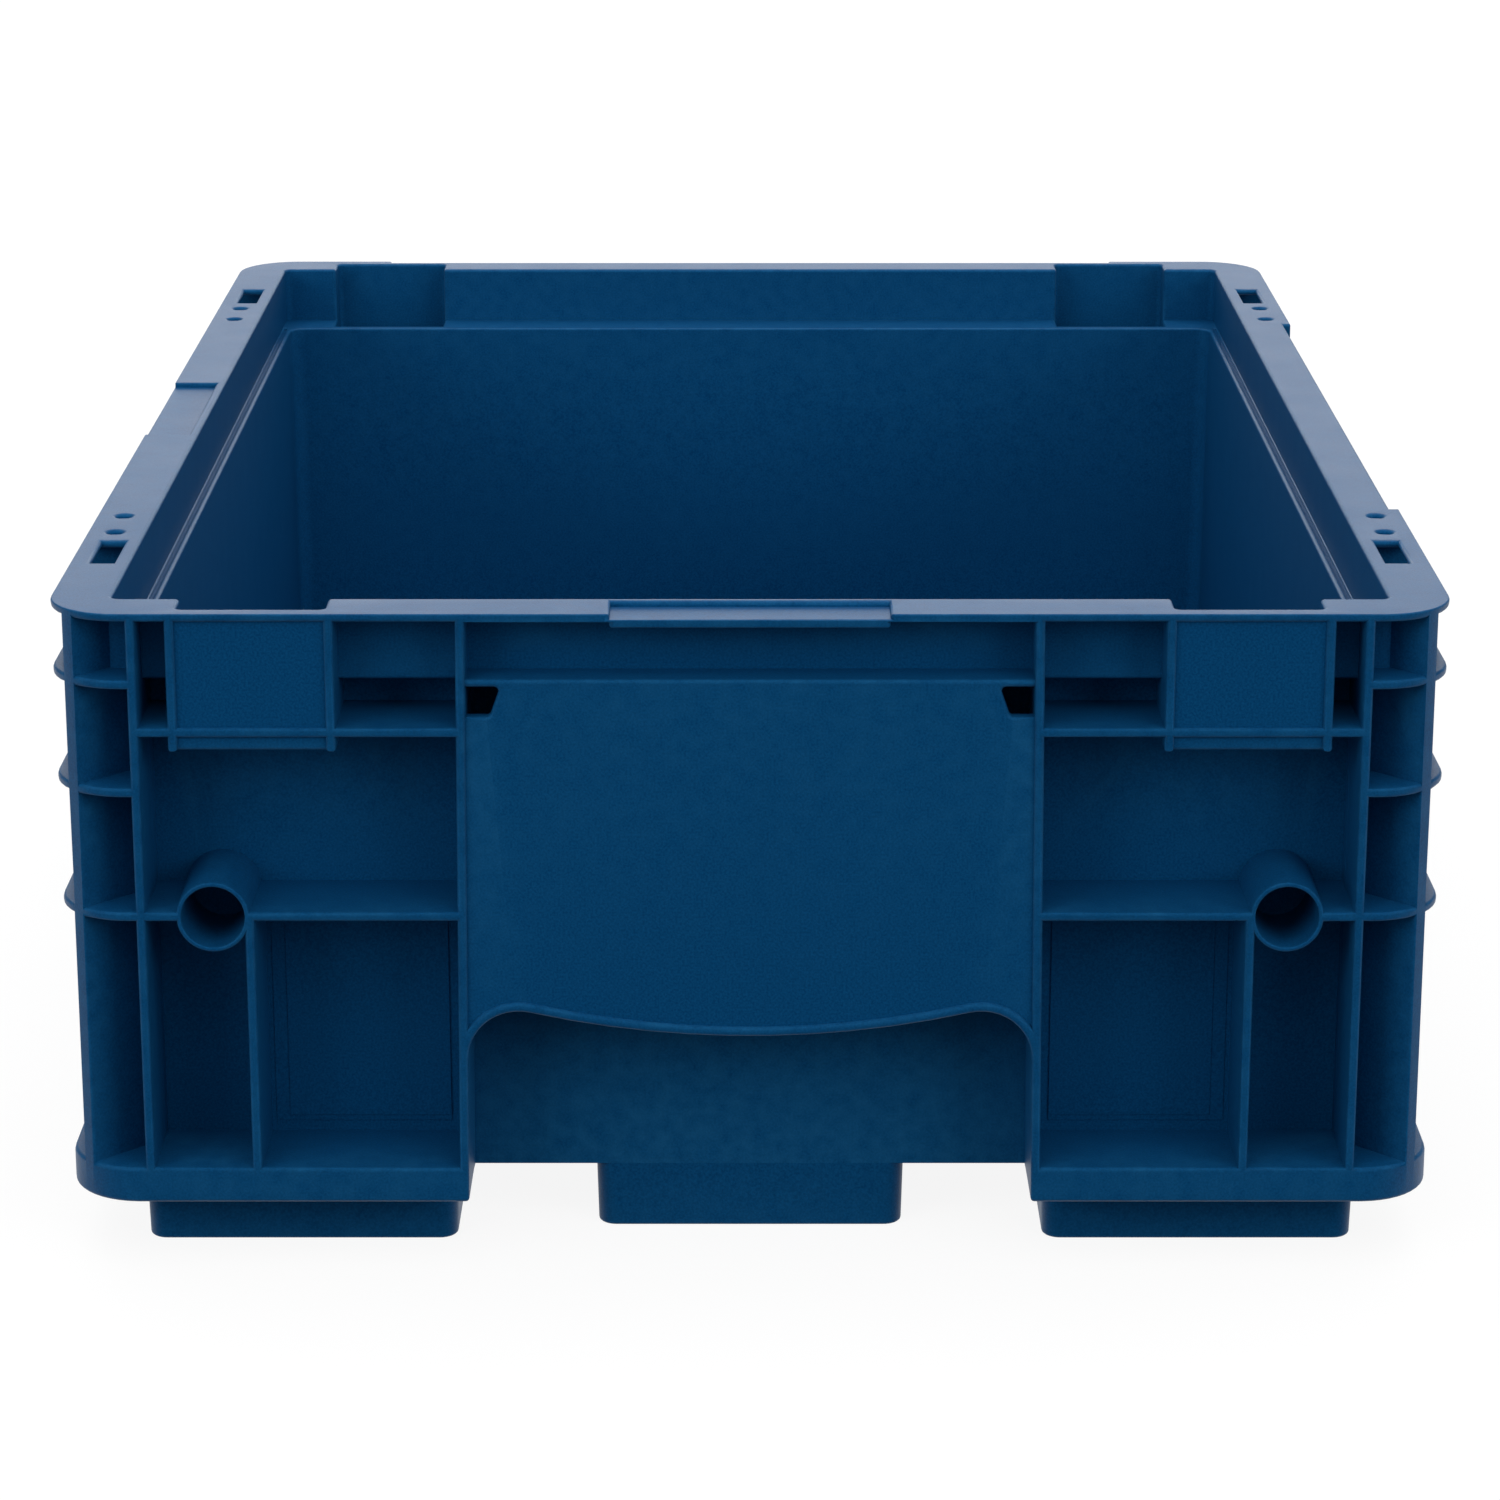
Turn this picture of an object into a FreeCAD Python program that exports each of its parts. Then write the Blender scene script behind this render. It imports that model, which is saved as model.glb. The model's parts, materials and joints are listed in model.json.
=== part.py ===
import FreeCAD, Part
import math
import os

os.makedirs("parts", exist_ok=True)

# Sizes are in millimetres. X runs across the box, Y along it, and Z up from
# the surface that its feet stand on, with the origin under its middle.

# Overall size
box_length = 396.0
box_width = 297.0
box_height = 147.5
corner_radius = 16.0

# Rim flange round the mouth
rim_width = 13.0
rim_thickness = 1.8
mouth_corner_radius = 2.0

# Walls and the stacking ledge inside them
upper_wall_thickness = 3.0
lower_wall_thickness = 3.4
lower_wall_draft = 1.0
lower_wall_corner_radius = 4.0
ledge_height = 132.5
ledge_thickness = 2.0
end_ledge_depth = 12.0
side_ledge_depth = 2.5
ledge_groove_width = 0.8
ledge_groove_depth = 0.5
ledge_groove_inset = 0.3

# Floor and the base blocks at the corners
floor_underside = 15.0
floor_thickness = 3.0
base_block_thickness = 8.0

# Feet, which drop into the mouth of the box below
stacking_clearance = 2.0
foot_wall_thickness = 3.0
foot_arm_width = 26.0
foot_corner_radius = 4.0
foot_step = 3.4
foot_taper = 0.4
end_foot_length = 68.3
side_foot_length = 90.0

# Ribs
rib_thickness = 2.0
corner_web_thickness = 3.2
end_corner_cell = 18.5
side_corner_cell = 30.0
top_rib_height = 132.0
middle_rib_height = 108.2
low_rib_height = 80.5
pocket_rib_height = 121.5

# Gripper pockets in the two ends
pocket_gap = 8.2
pocket_width = 31.4
pocket_front_thickness = 3.5
pocket_floor_thickness = 2.0
pocket_floor_height = 119.4
pocket_corner_radius = 1.5
face_recess = 1.0

# Tubular bosses on the ends
boss_inset = 15.4
boss_tip_radius = 7.8
boss_root_radius = 8.2
boss_bore_radius = 6.8

# Grip panels with a curved lower edge
end_grip_half_width = 60.7
panel_thickness = 3.0
panel_top_height = 132.9
panel_shelf_thickness = 1.6
grip_middle_height = 53.4
grip_crest_height = 59.0
grip_corner_radius = 11.0
grip_bead_height = 2.0
grip_rib_angle = 0.5
side_panel_recess = 2.5
side_panel_thickness = 2.5

# Clip holes in the top corners of the end panels
clip_hole_height = 6.6
clip_hole_width = 7.4
clip_hole_slant = 2.3
clip_hole_radius = 1.0

# Label fields on the back end and on the right side
label_width = 211.0
label_height = 74.0
label_recess = 2.0

# Notches in the rim of the front end and of the left side
notch_length = 59.0
notch_depth = 1.2
notch_land = 2.3

# Slots and dimples in the rim of the long sides
slot_length = 19.5
slot_width = 5.3
slot_inset = 6.9
slot_from_end = 52.8
slot_to_rib = 2.6
dimple_diameter = 3.6
dimple_depth = 1.0
dimple_inset = 6.1
dimple_pitch = 14.9
dimple_from_slot = 17.7

# Places worked out from the sizes above
half_length = box_length / 2
half_width = box_width / 2
mouth_x = half_width - rim_width
mouth_y = half_length - rim_width
inner_x = mouth_x - side_ledge_depth
inner_y = mouth_y - end_ledge_depth
upper_wall_x = mouth_x + upper_wall_thickness
upper_wall_y = mouth_y + upper_wall_thickness
wall_x = inner_x + lower_wall_thickness
wall_y = inner_y + lower_wall_thickness
ledge_underside = ledge_height - ledge_thickness
rim_underside = box_height - rim_thickness
base_block_top = floor_underside + base_block_thickness
end_corner_rib_x = half_width - end_corner_cell
side_corner_rib_y = half_length - side_corner_cell
pocket_outer_rib_x = end_corner_rib_x - pocket_gap
pocket_inner_rib_x = pocket_outer_rib_x - pocket_width - rib_thickness
boss_x = end_corner_rib_x - boss_inset
post_rib_x = boss_x - boss_tip_radius
end_face = half_length - face_recess
side_face = half_width - side_panel_recess
label_rib_y = (label_width + rib_thickness) / 2
slot_y = half_length - slot_from_end
slot_rib_y = slot_y - (slot_length + rib_thickness) / 2 - slot_to_rib
grip_side_height = grip_crest_height - grip_corner_radius
clip_hole_top = panel_top_height - panel_shelf_thickness

overlap = 1.0


def vector(x, y, z):
    return FreeCAD.Vector(x, y, z)


def rounded_outline(corners, radii, z):
    # Closed outline in plan. Each corner has its own radius, or 0 for a sharp one.
    points = [vector(x, y, z) for x, y in corners]
    starts, middles, ends = [], [], []
    for index, (point, radius) in enumerate(zip(points, radii)):
        back = (points[index - 1] - point).normalize()
        ahead = (points[(index + 1) % len(points)] - point).normalize()
        half_angle = back.getAngle(ahead) / 2
        inward = (back + ahead).normalize()
        reach = radius / math.tan(half_angle)
        starts.append(point + back * reach)
        ends.append(point + ahead * reach)
        middles.append(point + inward * (radius / math.sin(half_angle) - radius))
    edges = []
    for index, radius in enumerate(radii):
        if radius > 0:
            edges.append(Part.Arc(starts[index], middles[index], ends[index]).toShape())
        following = starts[(index + 1) % len(points)]
        edges.append(Part.LineSegment(ends[index], following).toShape())
    return Part.Wire(edges)


def rectangle(half_x, half_y):
    return [(-half_x, -half_y), (half_x, -half_y), (half_x, half_y), (-half_x, half_y)]


def upright_prism(corners, radii, z_low, z_high):
    face = Part.Face(rounded_outline(corners, radii, z_low))
    return face.extrude(vector(0, 0, z_high - z_low))


def block(x_low, x_high, y_low, y_high, z_low, z_high):
    size = (x_high - x_low, y_high - y_low, z_high - z_low)
    return Part.makeBox(*size, vector(x_low, y_low, z_low))


def facing_end(wire, y_low, y_high):
    # A plan outline is stood up to face along Y and given a depth.
    standing = wire.copy()
    standing.rotate(vector(0, 0, 0), vector(1, 0, 0), 90)
    standing.translate(vector(0, y_low, 0))
    return Part.Face(standing).extrude(vector(0, y_high - y_low, 0))


def turned_to_side(shape):
    # A shape made for the end at +Y is turned to the side at +X.
    turned = shape.copy()
    turned.rotate(vector(0, 0, 0), vector(0, 0, 1), -90)
    return turned


def across_middle(shape):
    # A shape and its mirror image across the middle of the box's width.
    return [shape, shape.mirror(vector(0, 0, 0), vector(1, 0, 0))]


def along_middle(shape):
    # A shape and its mirror image across the middle of the box's length.
    return [shape, shape.mirror(vector(0, 0, 0), vector(0, 1, 0))]


def in_four_corners(shape):
    return [image for half in across_middle(shape) for image in along_middle(half)]


def drafted_block(half_x, half_y, radius, z_low, z_high):
    # The lower walls lean in towards the floor.
    outlines = []
    for z in (z_low, z_high):
        lean = lower_wall_draft * (ledge_height - z) / (ledge_height - floor_underside)
        corners = rectangle(half_x - lean, half_y - lean)
        outlines.append(rounded_outline(corners, [radius] * 4, z))
    return Part.makeLoft(outlines, True, True)


def shell_blanks():
    # Solid blanks of the lower walls, the upper walls and the rim.
    outer_radius = lower_wall_corner_radius + lower_wall_thickness
    lower = drafted_block(wall_x, wall_y, outer_radius, floor_underside, ledge_height)
    upper_radius = mouth_corner_radius + upper_wall_thickness
    upper_corners = rectangle(upper_wall_x, upper_wall_y)
    upper = upright_prism(upper_corners, [upper_radius] * 4, ledge_underside, box_height)
    rim_corners = rectangle(half_width, half_length)
    rim = upright_prism(rim_corners, [corner_radius] * 4, rim_underside, box_height)
    return [lower, upper, rim]


def interior():
    # The load space below the ledge, and the wider mouth above it.
    floor_top = floor_underside + floor_thickness
    lower = drafted_block(inner_x, inner_y, lower_wall_corner_radius, floor_top, ledge_height)
    mouth_corners = rectangle(mouth_x, mouth_y)
    mouth_radii = [mouth_corner_radius] * 4
    mouth = upright_prism(mouth_corners, mouth_radii, ledge_height, box_height + overlap)
    return [lower, mouth]


def ledge_groove():
    # A narrow groove in the ledge of a long side, close to the upper wall.
    x_high = mouth_x - ledge_groove_inset
    x_range = (x_high - ledge_groove_width, x_high)
    z_range = (ledge_height - ledge_groove_depth, ledge_height + overlap)
    return block(*x_range, -inner_y, inner_y, *z_range)


def end_rib(x, z_low, z_high):
    half = rib_thickness / 2
    return block(x - half, x + half, inner_y, half_length, z_low, z_high)


def end_shelf(x_low, x_high, z):
    half = rib_thickness / 2
    return block(x_low, x_high, inner_y, half_length, z - half, z + half)


def end_ribs():
    # Ribs between the end wall and the outline of the box, in one corner.
    return [
        end_rib(end_corner_rib_x, floor_underside, box_height),
        end_rib(post_rib_x, floor_underside, low_rib_height),
        end_shelf(end_grip_half_width, end_corner_rib_x, pocket_rib_height),
        end_shelf(end_grip_half_width, end_corner_rib_x, low_rib_height),
    ]


def side_rib(y, z_low, z_high):
    half = rib_thickness / 2
    return block(inner_x, half_width, y - half, y + half, z_low, z_high)


def side_shelf(z):
    half = rib_thickness / 2
    return block(inner_x, half_width, label_rib_y, side_corner_rib_y, z - half, z + half)


def side_ribs():
    # Ribs between the long wall and the outline of the box, in one corner.
    return [
        side_rib(side_corner_rib_y, floor_underside, box_height),
        side_rib(label_rib_y, floor_underside, box_height),
        side_rib(slot_rib_y, floor_underside, box_height),
        side_shelf(pocket_rib_height),
        side_shelf(low_rib_height),
    ]


def corner_ribs():
    # Three level plates and one slanting web round a corner of the box.
    half = rib_thickness / 2
    ribs = []
    for z in (low_rib_height, middle_rib_height, top_rib_height):
        x_range = (end_corner_rib_x, half_width)
        y_range = (side_corner_rib_y, half_length)
        ribs.append(block(*x_range, *y_range, z - half, z + half))
    web_half = corner_web_thickness / 2
    rib_to_centre = (end_corner_cell - corner_radius) * math.sqrt(2)
    web_low = base_block_top - overlap
    web = block(-web_half, web_half, -rib_to_centre, 2 * corner_radius, web_low, box_height)
    web.rotate(vector(0, 0, 0), vector(0, 0, 1), -45)
    arc_centre = vector(half_width - corner_radius, half_length - corner_radius, 0)
    web.translate(arc_centre)
    return ribs + [web]


def base_block():
    inner_end = grip_rib_inner_x(floor_underside)
    end_part = block(inner_end, half_width, inner_y, half_length, floor_underside, base_block_top)
    side_low = label_width / 2
    side_part = block(inner_x, half_width, side_low, half_length, floor_underside, base_block_top)
    return [end_part, side_part]


def grip_rib_inner_x(z):
    # The ribs beside the end panel lean outwards towards the base.
    return end_grip_half_width + (grip_side_height - z) * math.tan(math.radians(grip_rib_angle))


def grip_rib():
    top_x = grip_rib_inner_x(box_height)
    low_x = grip_rib_inner_x(floor_underside)
    corners = [
        (low_x, floor_underside),
        (low_x + rib_thickness, floor_underside),
        (top_x + rib_thickness, box_height),
        (top_x, box_height),
    ]
    points = [vector(x, z, 0) for x, z in corners]
    outline = Part.makePolygon(points + points[:1])
    return facing_end(outline, inner_y, half_length)


def pocket_blank():
    # The solid that a pocket is hollowed from, with its two side ribs.
    half = rib_thickness / 2
    low = pocket_floor_height - pocket_floor_thickness
    x_range = (pocket_inner_rib_x - half, pocket_outer_rib_x + half)
    front = block(*x_range, inner_y, end_face, low, box_height)
    ribs = [end_rib(x, low, box_height) for x in (pocket_inner_rib_x, pocket_outer_rib_x)]
    return [front] + ribs


def pocket_hollow():
    half = rib_thickness / 2
    x_low = pocket_inner_rib_x + half
    x_high = pocket_outer_rib_x - half
    y_high = end_face - pocket_front_thickness
    corners = [(x_low, wall_y), (x_high, wall_y), (x_high, y_high), (x_low, y_high)]
    radii = [0, 0, pocket_corner_radius, pocket_corner_radius]
    return upright_prism(corners, radii, pocket_floor_height, box_height + overlap)


def boss():
    foot = vector(boss_x, inner_y, low_rib_height)
    length = half_length - inner_y
    return Part.makeCone(boss_root_radius, boss_tip_radius, length, foot, vector(0, 1, 0))


def boss_bore():
    mouth = half_length + overlap
    bottom = vector(boss_x, wall_y, low_rib_height)
    return Part.makeCylinder(boss_bore_radius, mouth - wall_y, bottom, vector(0, 1, 0))


def grip_opening(half_span, offset):
    # Outline of the hand opening under a panel: a long sagging arc between two
    # tight crests, all tangent, with the offset added all round.
    rise = grip_middle_height - grip_side_height
    run = half_span - grip_corner_radius
    sag_radius = (run ** 2 + rise ** 2 - grip_corner_radius ** 2) / (2 * (grip_corner_radius - rise))
    tangent_angle = math.pi - math.atan2(rise + sag_radius, run)
    crest_radius = grip_corner_radius + offset

    def crest_point(side, angle):
        x = run + crest_radius * math.cos(angle)
        return vector(side * x, grip_side_height + crest_radius * math.sin(angle), 0)

    lowest = [vector(side * (half_span + offset), 0, 0) for side in (-1, 1)]
    springs = [crest_point(side, 0) for side in (-1, 1)]
    crests = [crest_point(side, tangent_angle / 2) for side in (-1, 1)]
    tangents = [crest_point(side, tangent_angle) for side in (-1, 1)]
    middle = vector(0, grip_middle_height + offset, 0)
    return Part.Wire([
        Part.LineSegment(lowest[0], springs[0]).toShape(),
        Part.Arc(springs[0], crests[0], tangents[0]).toShape(),
        Part.Arc(tangents[0], middle, tangents[1]).toShape(),
        Part.Arc(tangents[1], crests[1], springs[1]).toShape(),
        Part.LineSegment(springs[1], lowest[1]).toShape(),
        Part.LineSegment(lowest[1], lowest[0]).toShape(),
    ])


def grip_panel(half_span, wall_face, panel_back, panel_face, bead_face):
    # A hanging panel with its shelf at the top and a bead along its curved edge.
    panel = block(-half_span, half_span, panel_back, panel_face, grip_side_height, panel_top_height)
    panel = panel.cut(facing_end(grip_opening(half_span, 0), panel_back, panel_face))
    bead = facing_end(grip_opening(half_span, grip_bead_height), panel_back, bead_face)
    bead = bead.cut(facing_end(grip_opening(half_span, 0), panel_back, bead_face))
    reach = half_span + grip_bead_height
    bead = bead.common(block(-reach, reach, panel_back, bead_face, grip_side_height, panel_top_height))
    shelf_low = panel_top_height - panel_shelf_thickness
    shelf = block(-half_span, half_span, wall_face - overlap, panel_face, shelf_low, panel_top_height)
    return [panel, bead, shelf]


def grip_panels():
    panel_back = end_face - panel_thickness
    end_parts = grip_panel(end_grip_half_width, upper_wall_y, panel_back, end_face, half_length)
    side_back = side_face - side_panel_thickness
    bead_face = half_width - face_recess
    side_parts = grip_panel(label_width / 2, upper_wall_x, side_back, side_face, bead_face)
    panels = [image for part in end_parts for image in along_middle(part)]
    panels += [image for part in side_parts for image in across_middle(turned_to_side(part))]
    return panels


def clip_hole():
    outer_x = grip_rib_inner_x(clip_hole_top)
    inner_top_x = outer_x - clip_hole_width
    clip_hole_bottom = clip_hole_top - clip_hole_height
    corners = [
        (inner_top_x + clip_hole_slant, clip_hole_bottom),
        (outer_x, clip_hole_bottom),
        (outer_x, clip_hole_top),
        (inner_top_x, clip_hole_top),
    ]
    outline = rounded_outline(corners, [clip_hole_radius, 0, 0, clip_hole_radius], 0)
    return facing_end(outline, end_face - panel_thickness - overlap, half_length + overlap)


def corner_foot_outline(inset, radius, z):
    outer_x = mouth_x - stacking_clearance - inset
    outer_y = mouth_y - stacking_clearance - inset
    arm_x = mouth_x - stacking_clearance - foot_arm_width + inset
    arm_y = mouth_y - stacking_clearance - foot_arm_width + inset
    end_x = grip_rib_inner_x(floor_underside) + foot_step + inset
    end_y = label_width / 2 + foot_step + inset
    corners = [
        (outer_x, outer_y),
        (end_x, outer_y),
        (end_x, arm_y),
        (arm_x, arm_y),
        (arm_x, end_y),
        (outer_x, end_y),
    ]
    return rounded_outline(corners, [radius] * 6, z)


def middle_foot_outline(foot_length, outer_face, inset, radius, z):
    half = foot_length / 2 - inset
    outer = outer_face - inset
    inner = outer_face - foot_arm_width + inset
    corners = [(-half, inner), (half, inner), (half, outer), (-half, outer)]
    return rounded_outline(corners, [radius] * 4, z)


def hollow_foot(outline):
    # A foot is a tapered wall round its outline, open below.
    top = floor_underside + overlap
    sections = [outline(foot_taper, foot_corner_radius, 0), outline(0, foot_corner_radius, top)]
    solid = Part.makeLoft(sections, True, True)
    core = Part.Face(outline(foot_wall_thickness, 0, -overlap))
    return solid.cut(core.extrude(vector(0, 0, floor_underside + overlap)))


def feet():
    end_face_below = wall_y - lower_wall_draft
    side_face_below = wall_x - lower_wall_draft
    corner = hollow_foot(corner_foot_outline)
    end = hollow_foot(lambda *place: middle_foot_outline(end_foot_length, end_face_below, *place))
    side = hollow_foot(lambda *place: middle_foot_outline(side_foot_length, side_face_below, *place))
    return in_four_corners(corner) + along_middle(end) + across_middle(turned_to_side(side))


def label_fields():
    # Space taken off the rim, ribs and panels so that a label lies flush.
    half = label_width / 2
    low = box_height - label_height
    top = box_height + overlap
    back = block(-half, half, half_length - label_recess, half_length + overlap, low, top)
    right = block(half_width - label_recess, half_width + overlap, -half, half, low, top)
    return [back, right]


def rim_notch(outer_face):
    # The lip that hangs below the rim, and the notch above it, facing +Y.
    half = notch_length / 2
    inner = outer_face - rim_width + notch_land
    lip = block(-half, half, inner, outer_face, rim_underside - notch_depth, rim_underside + overlap)
    bottom = box_height - notch_depth
    hollow = block(-half, half, inner, outer_face + overlap, bottom, box_height + overlap)
    return lip, hollow


def rim_slot():
    x = half_width - slot_inset
    half_x = slot_width / 2
    half_y = slot_length / 2
    z_range = (rim_underside - overlap, box_height + overlap)
    return block(x - half_x, x + half_x, slot_y - half_y, slot_y + half_y, *z_range)


def rim_dimples():
    x = half_width - dimple_inset
    first_y = slot_y - dimple_from_slot
    bottom = box_height - dimple_depth
    height = dimple_depth + overlap
    places = [vector(x, first_y - step * dimple_pitch, bottom) for step in range(2)]
    return [Part.makeCylinder(dimple_diameter / 2, height, place) for place in places]


def carrier_body():
    outline = upright_prism(rectangle(half_width, half_length), [corner_radius] * 4, 0, box_height)
    corner_parts = end_ribs() + side_ribs() + corner_ribs() + base_block() + pocket_blank()
    corner = boss().multiFuse(corner_parts + [grip_rib()])
    corner = corner.common(outline)
    front_lip, front_notch = rim_notch(half_length)
    side_lip, side_notch = rim_notch(half_width)
    front_middle = (vector(0, 0, 0), vector(0, 1, 0))
    side_middle = (vector(0, 0, 0), vector(1, 0, 0))
    lips = [front_lip.mirror(*front_middle), turned_to_side(side_lip).mirror(*side_middle)]
    notches = [front_notch.mirror(*front_middle), turned_to_side(side_notch).mirror(*side_middle)]

    blanks = shell_blanks()
    solid = blanks[0].multiFuse(blanks[1:] + in_four_corners(corner) + grip_panels() + lips + feet())
    hollows = interior() + in_four_corners(pocket_hollow()) + in_four_corners(boss_bore())
    hollows += in_four_corners(clip_hole()) + in_four_corners(rim_slot())
    hollows += across_middle(ledge_groove())
    for dimple in rim_dimples():
        hollows += in_four_corners(dimple)
    hollows += label_fields() + notches
    return solid.cut(hollows).removeSplitter()


body = carrier_body()
body.exportStep("parts/carrier_body.step")
print("solids", len(body.Solids), "valid", body.isValid(), "volume cm3", round(body.Volume / 1000, 1))
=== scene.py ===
import json
import math

import bmesh
import bpy
import numpy
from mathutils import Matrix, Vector
from mathutils.bvhtree import BVHTree
from mathutils.geometry import delaunay_2d_cdt


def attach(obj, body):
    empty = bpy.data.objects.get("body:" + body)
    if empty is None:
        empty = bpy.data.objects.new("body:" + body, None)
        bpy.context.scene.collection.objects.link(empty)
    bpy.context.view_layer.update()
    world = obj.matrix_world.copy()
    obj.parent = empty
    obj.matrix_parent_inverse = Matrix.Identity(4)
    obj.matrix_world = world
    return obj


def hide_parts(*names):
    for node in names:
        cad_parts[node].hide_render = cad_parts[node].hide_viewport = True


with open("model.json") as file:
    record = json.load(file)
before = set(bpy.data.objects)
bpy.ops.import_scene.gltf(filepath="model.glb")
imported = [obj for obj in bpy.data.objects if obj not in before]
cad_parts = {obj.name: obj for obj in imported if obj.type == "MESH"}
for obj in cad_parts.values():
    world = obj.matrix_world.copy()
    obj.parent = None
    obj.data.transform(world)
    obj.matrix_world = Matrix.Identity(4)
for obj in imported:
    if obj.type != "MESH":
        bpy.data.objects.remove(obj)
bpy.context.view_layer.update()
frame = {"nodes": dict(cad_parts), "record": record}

millimetre = 0.001


# What every material is made with

class NodePlan:
    # a thin helper that adds nodes to one tree and wires them by name
    def __init__(self, tree):
        self.tree = tree
        tree.nodes.clear()

    def add(self, kind, **settings):
        node = self.tree.nodes.new(kind)
        for key, value in settings.items():
            setattr(node, key, value)
        return node

    def fill(self, node, **values):
        for key, value in values.items():
            node.inputs[key.replace("_", " ")].default_value = value
        return node

    def link(self, source, output, target, socket):
        self.tree.links.new(source.outputs[output], target.inputs[socket])


def noiseAt(plan, coordinates, size, detail=2.0, roughness=0.5):
    # noise whose blotches are about this many metres across
    noise = plan.add("ShaderNodeTexNoise")
    plan.fill(noise, Scale=1.0 / size, Detail=detail, Roughness=roughness)
    plan.link(coordinates, "Object", noise, "Vector")
    return noise


def ranged(plan, source, output, low, high, fromLow=0.3, fromHigh=0.7):
    # stretches an output to run from low to high, by default one of noise
    band = plan.add("ShaderNodeMapRange")
    plan.fill(band, From_Min=fromLow, From_Max=fromHigh, To_Min=low, To_Max=high)
    plan.link(source, output, band, "Value")
    return band


# Moulded plastic

plasticLook = {
    "colour": (0.0014, 0.0475, 0.143),
    "paleColour": (0.0036, 0.0765, 0.214),
    # the paler colour of rounded edges is a painted highlight, with a little wear
    "highlitEdgeAndWearColour": (0.012, 0.115, 0.270),
    "patchSize": 60 * millimetre,
    "patchShare": 0.06,
    "streakSize": 7 * millimetre,
    "streakShare": 0.02,
    "speckSize": 0.5 * millimetre,
    "speckShare": 0.92,
    # patch size and amount of the painted edge highlight and wear
    "highlitEdgeAndWearSize": 3.5 * millimetre,
    "highlitEdgeAndWearShare": (0.1, 0.6),
    "grainSize": 0.42 * millimetre,
    "coarseGrainSize": 1.3 * millimetre,
    "grainDepth": 0.040 * millimetre,
    "coarseGrainDepth": 0.010 * millimetre,
    "sheenSize": 14 * millimetre,
    "roughness": (0.435, 0.465),
    # a dark tint, so that the plastic looks pale only at a grazing angle
    "specularTint": (0.015, 0.04, 0.08),
    "refraction": 1.58,
}


def mouldedPlastic():
    material = bpy.data.materials.new("mouldedPlastic")
    material.use_nodes = True
    plan = NodePlan(material.node_tree)
    look = plasticLook
    place = plan.add("ShaderNodeTexCoord")

    # the pigment is a little uneven in wide patches, streaks and fine specks
    patches = noiseAt(plan, place, look["patchSize"], detail=3.0)
    streaks = noiseAt(plan, place, look["streakSize"], detail=4.0)
    specks = noiseAt(plan, place, look["speckSize"], detail=1.0)
    patchBand = ranged(plan, patches, "Fac", 0.0, look["patchShare"])
    streakBand = ranged(plan, streaks, "Fac", 0.0, look["streakShare"])
    speckBand = ranged(plan, specks, "Fac", 0.0, look["speckShare"])
    wide = plan.add("ShaderNodeMath", operation="ADD")
    plan.link(patchBand, "Result", wide, 0)
    plan.link(streakBand, "Result", wide, 1)
    amount = plan.add("ShaderNodeMath", operation="ADD")
    plan.link(wide, "Value", amount, 0)
    plan.link(speckBand, "Result", amount, 1)
    pigment = plan.add("ShaderNodeMix", data_type="RGBA")
    pigment.inputs[6].default_value = (*look["colour"], 1)
    pigment.inputs[7].default_value = (*look["paleColour"], 1)
    plan.link(amount, "Value", pigment, 0)

    # rounded edges are painted paler: a painted highlight along them, broken up in patches like
    # light wear
    highlightAndWearMask = plan.add("ShaderNodeAttribute", attribute_name="paintedEdgeHighlightAndWear")
    highlightAndWearNoise = noiseAt(plan, place, look["highlitEdgeAndWearSize"], detail=5.0)
    highlightAndWearBand = ranged(plan, highlightAndWearNoise, "Fac", *look["highlitEdgeAndWearShare"])
    highlightAndWearAmount = plan.add("ShaderNodeMath", operation="MULTIPLY")
    plan.link(highlightAndWearMask, "Fac", highlightAndWearAmount, 0)
    plan.link(highlightAndWearBand, "Result", highlightAndWearAmount, 1)
    highlitAndWorn = plan.add("ShaderNodeMix", data_type="RGBA")
    plan.link(highlightAndWearAmount, "Value", highlitAndWorn, 0)
    plan.link(pigment, 2, highlitAndWorn, 6)
    highlitAndWorn.inputs[7].default_value = (*look["highlitEdgeAndWearColour"], 1)

    # eroded mould grain, fine over coarse
    grain = noiseAt(plan, place, look["grainSize"], detail=3.0, roughness=0.6)
    coarse = noiseAt(plan, place, look["coarseGrainSize"], detail=2.0)
    relief = None
    for height, depth in ((coarse, "coarseGrainDepth"), (grain, "grainDepth")):
        bump = plan.add("ShaderNodeBump")
        plan.fill(bump, Strength=1.0, Distance=look[depth])
        plan.link(height, "Fac", bump, "Height")
        if relief:
            plan.link(relief, "Normal", bump, "Normal")
        relief = bump

    sheen = noiseAt(plan, place, look["sheenSize"], detail=4.0)
    sheenBand = ranged(plan, sheen, "Fac", *look["roughness"])

    shader = plan.add("ShaderNodeBsdfPrincipled")
    shader.inputs["IOR"].default_value = look["refraction"]
    shader.inputs["Specular Tint"].default_value = (*look["specularTint"], 1)
    plan.link(highlitAndWorn, 2, shader, "Base Color")
    plan.link(sheenBand, "Result", shader, "Roughness")
    plan.link(relief, "Normal", shader, "Normal")
    output = plan.add("ShaderNodeOutputMaterial")
    plan.link(shader, "BSDF", output, "Surface")
    return material


# The moulded body, with its edges rounded

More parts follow.
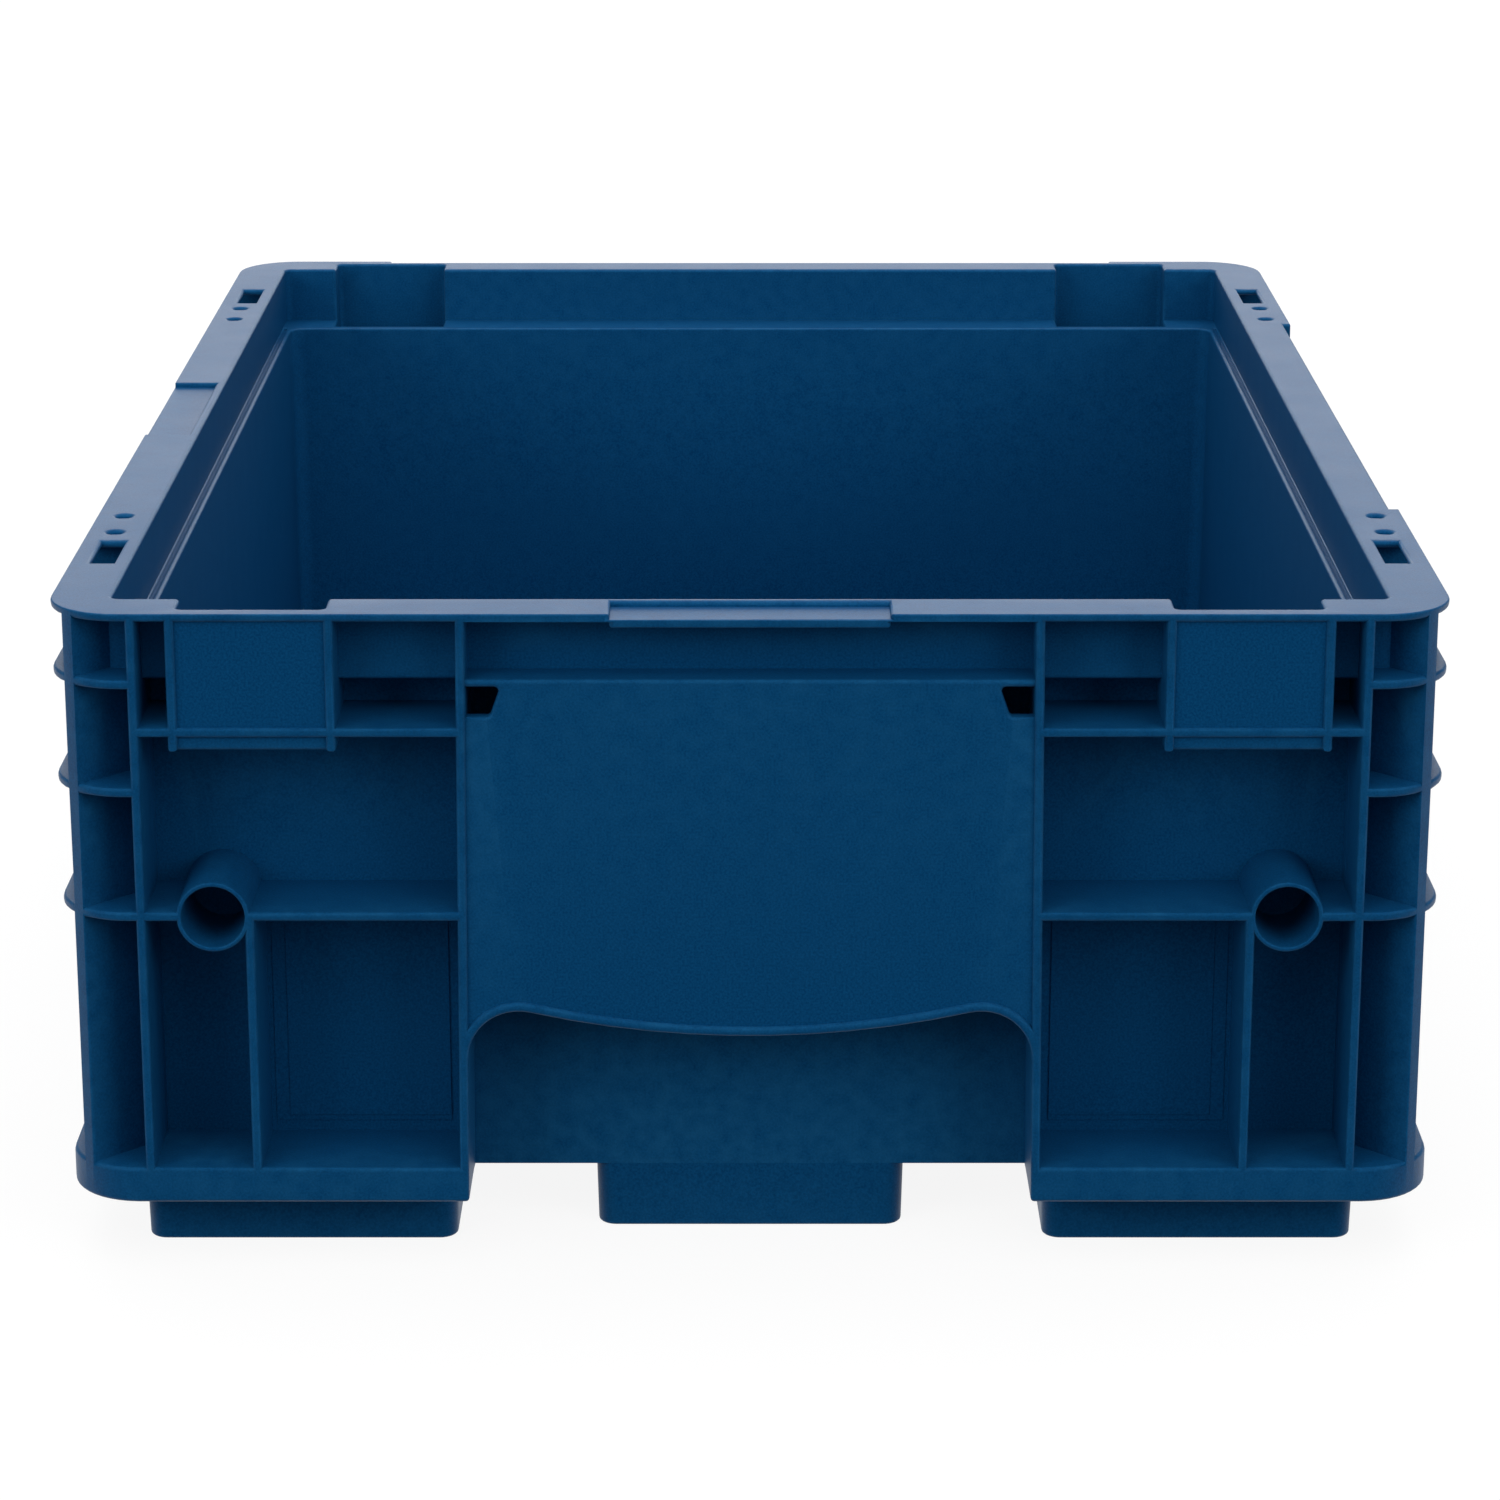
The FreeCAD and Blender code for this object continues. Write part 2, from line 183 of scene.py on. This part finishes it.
bodyLook = {
    "node": "carrier_body",
    "mergeWithin": 0.01 * millimetre,
    "flatWithin": math.radians(0.5),
    "roundPast": math.radians(30),
    "sharpPast": math.radians(40),
    "largestRadius": 0.9 * millimetre,
    "smallestRadius": 0.15 * millimetre,
    "roundingSteps": 3,
    "flatShadingWeight": 80,
    "carriesOnWithin": math.radians(25),
    # how much of the room beside it an edge takes, alone or with another
    "roomShare": 0.92,
    "sharedRoomShare": 0.47,
    "inwardCornerShare": 0.33,
    "inwardTurn": 0.3,
    "hair": 0.001 * millimetre,
    "fillWithin": 0.0001 * millimetre,
    "bossRadii": (6.7 * millimetre, 8.3 * millimetre),
    "circleWithin": 0.03 * millimetre,
    # the turn at which the painted edge highlight and wear are full
    "fullHighlightAndWearAt": math.radians(30),
}


def mergedCopy(node):
    # the loose triangles become joined flat faces
    mesh = bmesh.new()
    mesh.from_mesh(node.data)
    bmesh.ops.remove_doubles(mesh, verts=mesh.verts, dist=bodyLook["mergeWithin"])
    bmesh.ops.dissolve_limit(
        mesh, angle_limit=bodyLook["flatWithin"], use_dissolve_boundaries=False,
        verts=mesh.verts, edges=mesh.edges)
    return mesh


def bossCentres():
    # each boss is bored where the record states an opening for its pin
    centres = []
    for opening in frame["record"]["physics"]["openings"]:
        if opening["name"].endswith("boss_bore"):
            low, high = opening["box_m"]
            centres.append(Vector([(a + b) / 2 for a, b in zip(low, high)]))
    return centres


def smoothBosses(mesh):
    # halves the facets of every round on a boss, which all run along Y
    inner, outer = bodyLook["bossRadii"]
    within = bodyLook["circleWithin"]

    def radiusAt(point, centre):
        return math.hypot(point.x - centre.x, point.z - centre.z)

    for centre in bossCentres():
        rounds = {}
        for edge in mesh.edges:
            a, b = (v.co for v in edge.verts)
            near, far = radiusAt(a, centre), radiusAt(b, centre)
            level = abs(a.y - b.y) < within and a.y * centre.y > 0
            if level and inner < near < outer and abs(near - far) < within:
                rounds[edge] = near
        if not rounds:
            continue
        targets = [((e.verts[0].co + e.verts[1].co) / 2, r) for e, r in rounds.items()]
        cut = bmesh.ops.subdivide_edges(mesh, edges=list(rounds), cuts=1)
        for vert in cut["geom_inner"]:
            if isinstance(vert, bmesh.types.BMVert):
                middle, radius = min(targets, key=lambda t: (t[0] - vert.co).length)
                grown = radius / radiusAt(vert.co, centre)
                vert.co.x = centre.x + (vert.co.x - centre.x) * grown
                vert.co.z = centre.z + (vert.co.z - centre.z) * grown


def markFlats(mesh):
    # numbers the flats: faces that join in one plane share a number
    number = mesh.faces.layers.int.new("flatNumber")
    flatWithin = bodyLook["flatWithin"]
    normals = {}
    for first in mesh.faces:
        if first[number]:
            continue
        name = len(normals) + 1
        normals[name] = first.normal.copy()
        first[number] = name
        waiting = [first]
        while waiting:
            for edge in waiting.pop().edges:
                for face in edge.link_faces:
                    if not face[number] and face.normal.angle(normals[name]) < flatWithin:
                        face[number] = name
                        waiting.append(face)
    return normals


def planeOf(normal):
    # two directions that span the plane, right-handed about its normal
    across = normal.orthogonal().normalized()
    return across, normal.cross(across)


def outlineLoops(mesh, number):
    # the loops of each flat that lie on its outline
    outlines = {}
    for face in mesh.faces:
        name = face[number]
        for loop in face.loops:
            other = loop.link_loop_radial_next.face
            if other is face or other[number] != name:
                outlines.setdefault(name, []).append(loop)
    return outlines


def roomInside(loops, normal, rounded):
    # how far each edge of an outline can move inward before it meets another
    look = bodyLook
    across, up = planeOf(normal)
    nextVerts = [l.link_loop_next.vert for l in loops]
    starts = numpy.array([(l.vert.co.dot(across), l.vert.co.dot(up)) for l in loops])
    ends = numpy.array([(v.co.dot(across), v.co.dot(up)) for v in nextVerts])
    moves = [l.edge in rounded for l in loops]
    share = numpy.array([look["sharedRoomShare"] if m else look["roomShare"] for m in moves])
    cornerShare = share.copy()
    runs = ends - starts
    lengths = numpy.maximum(numpy.hypot(runs[:, 0], runs[:, 1]), 1e-9)
    headings = runs / lengths[:, None]
    used = numpy.zeros(len(loops))
    startingAt = {}
    for i, loop in enumerate(loops):
        startingAt.setdefault(loop.vert, []).append(i)
    for i, vert in enumerate(nextVerts):
        for j in startingAt.get(vert, []):
            if not (moves[i] and moves[j]):
                continue
            cross = headings[i][0] * headings[j][1] - headings[i][1] * headings[j][0]
            if cross > 0:
                # both edges get shorter where the outline turns between them
                half = math.tan(math.atan2(cross, headings[i] @ headings[j]) / 2)
                used[i] += half
                used[j] += half
            elif cross < -look["inwardTurn"]:
                # an inward corner reaches further than its edges do
                cornerShare[j] = look["inwardCornerShare"]
    rooms = []
    hair = look["hair"]
    for i, length in enumerate(lengths):
        along = headings[i]
        inward = numpy.array((-along[1], along[0]))
        startAlong, startIn = (starts - starts[i]) @ along, (starts - starts[i]) @ inward
        endAlong, endIn = (ends - starts[i]) @ along, (ends - starts[i]) @ inward
        room = look["roomShare"] * length / used[i] if used[i] else 1.0
        facing = ((startAlong, startIn, cornerShare), (endAlong, endIn, share))
        for placeAlong, placeIn, part in facing:
            within = (placeAlong > -hair) & (placeAlong < length + hair) & (placeIn > hair)
            if within.any():
                room = min(room, (placeIn[within] * part[within]).min())
        for place in (0.0, 0.5 * length, length):
            crossing = (startAlong - place) * (endAlong - place) < -hair * hair
            if crossing.any():
                first, last = startAlong[crossing], endAlong[crossing]
                height = startIn[crossing] + (place - first) / (last - first) * (
                    endIn[crossing] - startIn[crossing])
                ahead = height > hair
                if ahead.any():
                    room = min(room, (height[ahead] * share[crossing][ahead]).min())
        rooms.append(room)
    return rooms


def weighEdges(mesh, normals):
    # every outward edge gets the radius that its faces have room for
    number = mesh.faces.layers.int["flatNumber"]
    weights = mesh.edges.layers.float.new("bevel_weight_edge")
    rounded = {
        e for e in mesh.edges
        if e.is_manifold and e.calc_face_angle_signed(0) > bodyLook["roundPast"]}
    radius = {edge: bodyLook["largestRadius"] for edge in rounded}
    for name, loops in outlineLoops(mesh, number).items():
        for loop, room in zip(loops, roomInside(loops, normals[name], rounded)):
            if loop.edge in rounded:
                radius[loop.edge] = min(radius[loop.edge], room)
    radius = {edge: size for edge, size in radius.items() if size >= bodyLook["smallestRadius"]}
    # edges that carry on from each other share one radius
    group = {edge: edge for edge in radius}

    def head(edge):
        while group[edge] is not edge:
            edge = group[edge]
        return edge

    for vert in mesh.verts:
        meeting = [e for e in vert.link_edges if e in radius]
        for i, one in enumerate(meeting):
            for other in meeting[i + 1:]:
                a = (one.other_vert(vert).co - vert.co).normalized()
                b = (other.other_vert(vert).co - vert.co).normalized()
                if a.dot(b) < -math.cos(bodyLook["carriesOnWithin"]):
                    group[head(one)] = head(other)
    shared = {}
    for edge in radius:
        key = head(edge)
        shared[key] = min(shared.get(key, 1.0), radius[edge])
    for edge in radius:
        edge[weights] = shared[head(edge)] / bodyLook["largestRadius"]
    print("edges rounded", len(radius), "left sharp", len(rounded) - len(radius))


def refillFlats(data, normals):
    # each flat is filled again from its outline, in well-shaped triangles
    mesh = bmesh.new()
    mesh.from_mesh(data)
    number = mesh.faces.layers.int["flatNumber"]
    fillWithin = bodyLook["fillWithin"]
    flats = {}
    for face in mesh.faces:
        # the second material marks what the rounding made
        if face.material_index:
            face[number] = 0
        else:
            flats.setdefault(face[number], []).append(face)
    kept = 0
    for name, faces in flats.items():
        if len(faces) == 1 and len(faces[0].verts) < 5:
            continue
        normal = normals[name]
        across, up = planeOf(normal)
        loops = []
        for face in faces:
            for loop in face.loops:
                other = loop.link_loop_radial_next
                if other is loop or other.face[number] != name:
                    loops.append(loop)
        verts = list(dict.fromkeys(v for l in loops for v in (l.vert, l.link_loop_next.vert)))
        place = {vert: i for i, vert in enumerate(verts)}
        points = [Vector((v.co.dot(across), v.co.dot(up))) for v in verts]
        sides = [(place[l.vert], place[l.link_loop_next.vert]) for l in loops]
        filled, _, triangles, origins = delaunay_2d_cdt(points, sides, [], 1, fillWithin)[:4]
        starts = numpy.array([points[a] for a, b in sides])
        ends = numpy.array([points[b] for a, b in sides])
        inside = []
        for corners in triangles:
            middle = sum((filled[i] for i in corners), Vector((0, 0))) / 3
            spans = (starts[:, 1] > middle.y) != (ends[:, 1] > middle.y)
            s, e = starts[spans], ends[spans]
            cross = s[:, 0] + (middle.y - s[:, 1]) / (e[:, 1] - s[:, 1]) * (e[:, 0] - s[:, 0])
            if (cross > middle.x).sum() % 2:
                inside.append(corners)
        # an outline that crosses itself needs new points, so its faces stay
        if any(not origins[i] for corners in inside for i in corners):
            kept += 1
            continue
        bmesh.ops.delete(mesh, geom=faces, context="FACES")
        for corners in inside:
            a, b, c = (origins[i][0] for i in corners)
            ring = [verts[a], verts[b], verts[c]]
            if (points[b] - points[a]).cross(points[c] - points[a]) < 0:
                ring.reverse()
            face = mesh.faces.new(ring)
            face[number] = name
    for face in mesh.faces:
        face.material_index = 0
    openEdges = sum(1 for e in mesh.edges if not e.is_manifold)
    print("flats filled again, all but", kept, "open edges", openEdges)
    mesh.to_mesh(data)
    mesh.free()


def meshObject(name, mesh, material):
    data = bpy.data.meshes.new(name)
    mesh.to_mesh(data)
    mesh.free()
    data.materials.clear()
    data.materials.append(material)
    piece = bpy.data.objects.new(name, data)
    bpy.context.scene.collection.objects.link(piece)
    return piece


def settled(piece):
    # what the live modifiers make becomes the piece's own mesh
    evaluated = piece.evaluated_get(bpy.context.evaluated_depsgraph_get())
    data = bpy.data.meshes.new_from_object(evaluated)
    data.name = piece.name
    piece.modifiers.clear()
    piece.data = data
    return piece


def markEdgeHighlightAndWear(data):
    # 1 where the surface turns, 0 on the flats: where the painted edge highlight and wear go
    mesh = bmesh.new()
    mesh.from_mesh(data)
    highlightAndWearMask = mesh.verts.layers.float.new("paintedEdgeHighlightAndWear")
    for vert in mesh.verts:
        turns = [e.calc_face_angle_signed(0) for e in vert.link_edges if e.is_manifold]
        vert[highlightAndWearMask] = min(max(turns + [0.0]) / bodyLook["fullHighlightAndWearAt"], 1.0)
    mesh.to_mesh(data)
    mesh.free()


def roundedBody(material):
    node = frame["nodes"][bodyLook["node"]]
    mesh = mergedCopy(node)
    print("body merged", len(mesh.faces), "faces")
    smoothBosses(mesh)
    print("bosses smoothed", len(mesh.faces), "faces")
    normals = markFlats(mesh)
    weighEdges(mesh, normals)
    piece = meshObject("ribbedBody", mesh, material)
    piece.data.materials.append(material)
    for layer in ("custom_normal", "sharp_edge", "sharp_face"):
        if layer in piece.data.attributes:
            piece.data.attributes.remove(piece.data.attributes[layer])
    bevel = piece.modifiers.new("edgeRounding", "BEVEL")
    bevel.limit_method = "WEIGHT"
    bevel.offset_type = "OFFSET"
    bevel.width = bodyLook["largestRadius"]
    bevel.segments = bodyLook["roundingSteps"]
    bevel.use_clamp_overlap = False
    bevel.loop_slide = False
    bevel.material = 1
    settled(piece)
    refillFlats(piece.data, normals)
    piece.data.materials.pop(index=1)
    piece.data.shade_smooth()
    piece.data.set_sharp_from_angle(angle=bodyLook["sharpPast"])
    # the flats shade as flats, and only the rounded strips bend the light
    weighted = piece.modifiers.new("flatShading", "WEIGHTED_NORMAL")
    weighted.keep_sharp = True
    weighted.weight = bodyLook["flatShadingWeight"]
    settled(piece)
    print("body rounded", len(piece.data.polygons), "faces")
    return piece


# The shallow stepped fields on the end walls, low beside the grips

fieldLook = {
    "inner": 66.0 * millimetre,
    "outer": (104.7 * millimetre, 101.7 * millimetre),
    "bottom": (25.4 * millimetre, 26.7 * millimetre),
    "top": 79.3 * millimetre,
    "step": 0.18 * millimetre,
    "sunk": 0.4 * millimetre,
    "fromOutside": 190 * millimetre,
    "edgeRadius": 0.05 * millimetre,
}


def wallAt(tree, x, z, end):
    # where the end wall stands at this place
    start = Vector((x, end * fieldLook["fromOutside"], z))
    return tree.ray_cast(start, Vector((0, -end, 0)))[0].y


def fieldPlate(mesh, tree, side, end, level):
    look = fieldLook
    low, high = look["bottom"][level], look["top"]
    inner, outer = side * look["inner"], side * look["outer"][level]
    middle = (inner + outer) / 2
    corners = []
    for depth in (look["step"] * (level + 1), -look["sunk"]):
        for x, z in ((inner, low), (outer, low), (outer, high), (inner, high)):
            corners.append(mesh.verts.new((x, wallAt(tree, middle, z, end) + end * depth, z)))
    around = ((0, 4, 5, 1), (1, 5, 6, 2), (2, 6, 7, 3), (3, 7, 4, 0))
    for ring in ((0, 1, 2, 3), (7, 6, 5, 4), *around):
        mesh.faces.new([corners[i] for i in ring])


def wallFields(material):
    source = bmesh.new()
    source.from_mesh(frame["nodes"][bodyLook["node"]].data)
    tree = BVHTree.FromBMesh(source)
    source.free()
    mesh = bmesh.new()
    for side in (-1, 1):
        for end in (-1, 1):
            for level in range(len(fieldLook["outer"])):
                fieldPlate(mesh, tree, side, end, level)
    bmesh.ops.recalc_face_normals(mesh, faces=mesh.faces)
    bmesh.ops.bevel(
        mesh, geom=mesh.edges, offset=fieldLook["edgeRadius"], segments=2, profile=0.5,
        affect="EDGES")
    piece = meshObject("wallFields", mesh, material)
    print("wall fields in place", len(piece.data.polygons), "faces")
    return piece


# Studio

studioLook = {
    "litBelow": 0.05,
    "litAbove": 0.90,
    "shineBelow": 1.0,
    "shineAbove": 0.50,
    "shineTurns": (0.35, 0.75),
    "shineAside": (0.25, 0.6),
    "shineLeft": 0.2,
    "floorTint": 0.10,
    "floorGlow": (0.90, 1.0),
    "floorFades": (0.7, 2.2),
    "floorShade": 0.12,
    "floorSize": 12.0,
    "farthestSeen": 50.0,
    "softboxes": {
        "frontSoftbox": {
            "at": (0.0, -1.25, 1.55), "aim": (0.0, -0.1, 0.1),
            "size": (1.6, 0.8), "watts": 4.0},
        "overheadSoftbox": {
            "at": (0.0, 0.35, 1.50), "aim": (0.0, 0.0, 0.1),
            "size": (1.5, 1.0), "watts": 8.5},
        "leftSoftbox": {
            "at": (-1.35, -1.35, 0.76), "aim": (0.0, -0.1, 0.08),
            "size": (1.1, 0.8), "watts": 8.4},
        "rightSoftbox": {
            "at": (1.35, -1.35, 0.76), "aim": (0.0, -0.1, 0.08),
            "size": (1.1, 0.8), "watts": 8.2},
        "backSoftbox": {
            "at": (0.0, 1.5, 0.55), "aim": (0.0, 0.1, 0.12),
            "size": (1.3, 0.7), "watts": 3.4},
    },
}


def seenDirectly(plan):
    # 1 for rays that show the background: seen, mirrored or through clear parts
    path = plan.add("ShaderNodeLightPath")
    first = plan.add("ShaderNodeMath", operation="MAXIMUM")
    second = plan.add("ShaderNodeMath", operation="MAXIMUM")
    plan.link(path, "Is Camera Ray", first, 0)
    plan.link(path, "Is Glossy Ray", first, 1)
    plan.link(first, "Value", second, 0)
    plan.link(path, "Is Transmission Ray", second, 1)
    return second


def makeWorld():
    # a white room whose light comes mostly from above, and that shiny
    # surfaces mirror as bright low down and dimmer overhead and to the sides
    world = bpy.data.worlds.new("studioWorld")
    world.use_nodes = True
    plan = NodePlan(world.node_tree)
    look = studioLook
    place = plan.add("ShaderNodeTexCoord")
    height = plan.add("ShaderNodeSeparateXYZ")
    plan.link(place, "Generated", height, "Vector")
    lit = ranged(plan, height, "Z", look["litBelow"], look["litAbove"], 0.0, 1.0)
    shine = ranged(plan, height, "Z", look["shineBelow"], look["shineAbove"], *look["shineTurns"])
    aside = plan.add("ShaderNodeMath", operation="ABSOLUTE")
    plan.link(height, "X", aside, 0)
    fade = ranged(plan, aside, "Value", 1.0, look["shineLeft"], *look["shineAside"])
    shown = plan.add("ShaderNodeMath", operation="MULTIPLY")
    plan.link(shine, "Result", shown, 0)
    plan.link(fade, "Result", shown, 1)
    path = plan.add("ShaderNodeLightPath")
    level = plan.add("ShaderNodeMix")
    plan.link(path, "Is Glossy Ray", level, 0)
    plan.link(lit, "Result", level, 2)
    plan.link(shown, "Value", level, 3)
    light = plan.fill(plan.add("ShaderNodeBackground"), Color=(1, 1, 1, 1))
    plan.link(level, 0, light, "Strength")
    white = plan.fill(plan.add("ShaderNodeBackground"), Color=(1, 1, 1, 1), Strength=1.0)
    # white where it is seen, itself or through a clear part
    seen = plan.add("ShaderNodeMath", operation="MAXIMUM")
    plan.link(path, "Is Camera Ray", seen, 0)
    plan.link(path, "Is Transmission Ray", seen, 1)
    mix = plan.add("ShaderNodeMixShader")
    plan.link(seen, "Value", mix, 0)
    plan.link(light, "Background", mix, 1)
    plan.link(white, "Background", mix, 2)
    output = plan.add("ShaderNodeOutputWorld")
    plan.link(mix, 0, output, "Surface")
    bpy.context.scene.world = world


def makeFloor():
    material = bpy.data.materials.new("paperFloor")
    material.use_nodes = True
    plan = NodePlan(material.node_tree)
    tint, shade = studioLook["floorTint"], studioLook["floorShade"]
    paper = plan.fill(plan.add("ShaderNodeBsdfDiffuse"), Color=(tint, tint, tint, 1))
    shaded = plan.fill(plan.add("ShaderNodeBsdfDiffuse"), Color=(shade, shade, shade, 1))
    # the paper keeps a shadow near the object and fades to white further out
    place = plan.add("ShaderNodeTexCoord")
    distance = plan.add("ShaderNodeVectorMath", operation="LENGTH")
    plan.link(place, "Object", distance, 0)
    strength = ranged(plan, distance, "Value", *studioLook["floorGlow"], *studioLook["floorFades"])
    glow = plan.add("ShaderNodeEmission")
    plan.link(strength, "Result", glow, "Strength")
    shown = plan.add("ShaderNodeAddShader")
    plan.link(shaded, 0, shown, 0)
    plan.link(glow, 0, shown, 1)
    mix = plan.add("ShaderNodeMixShader")
    plan.link(seenDirectly(plan), "Value", mix, 0)
    plan.link(paper, 0, mix, 1)
    plan.link(shown, 0, mix, 2)
    output = plan.add("ShaderNodeOutputMaterial")
    plan.link(mix, 0, output, "Surface")
    mesh = bmesh.new()
    bmesh.ops.create_grid(mesh, x_segments=1, y_segments=1, size=studioLook["floorSize"] / 2)
    floor = meshObject("paperFloor", mesh, material)


def makeLamps():
    for name, box in studioLook["softboxes"].items():
        data = bpy.data.lights.new(name, "AREA")
        data.shape = "RECTANGLE"
        data.size, data.size_y = box["size"]
        data.energy = box["watts"]
        lamp = bpy.data.objects.new(name, data)
        lamp.location = box["at"]
        aim = Vector(box["aim"]) - Vector(box["at"])
        lamp.rotation_euler = aim.to_track_quat("-Z", "Y").to_euler()
        lamp.visible_camera = False
        bpy.context.scene.collection.objects.link(lamp)


cameraLook = {
    "at": (0.0, -1.09485, 0.39158),
    "pitchDown": 0.2825,
    "focalPixels": 4445.76,
    "imagePixels": 1500,
    "centreRowOffset": -61,
    "sensorWidth": 36.0,
}


def makeCamera():
    # stands where the photograph was taken, turned down and shifted to match
    look = cameraLook
    data = bpy.data.cameras.new("studioCamera")
    data.sensor_width = look["sensorWidth"]
    data.lens = look["focalPixels"] / look["imagePixels"] * look["sensorWidth"]
    data.shift_y = look["centreRowOffset"] / look["imagePixels"]
    data.clip_end = studioLook["farthestSeen"]
    camera = bpy.data.objects.new("studioCamera", data)
    camera.location = look["at"]
    camera.rotation_euler = (math.pi / 2 - look["pitchDown"], 0, 0)
    bpy.context.scene.collection.objects.link(camera)
    bpy.context.scene.camera = camera


plastic = mouldedPlastic()
body = roundedBody(plastic)
# marks the rounded edges for the painted edge highlight and wear
markEdgeHighlightAndWear(body.data)
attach(body, "root")
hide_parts(bodyLook["node"])
fields = wallFields(plastic)
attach(fields, "root")
print("body in place")

makeWorld()
makeFloor()
makeLamps()
makeCamera()
bpy.context.scene.view_settings.view_transform = "Standard"
print("studio ready")
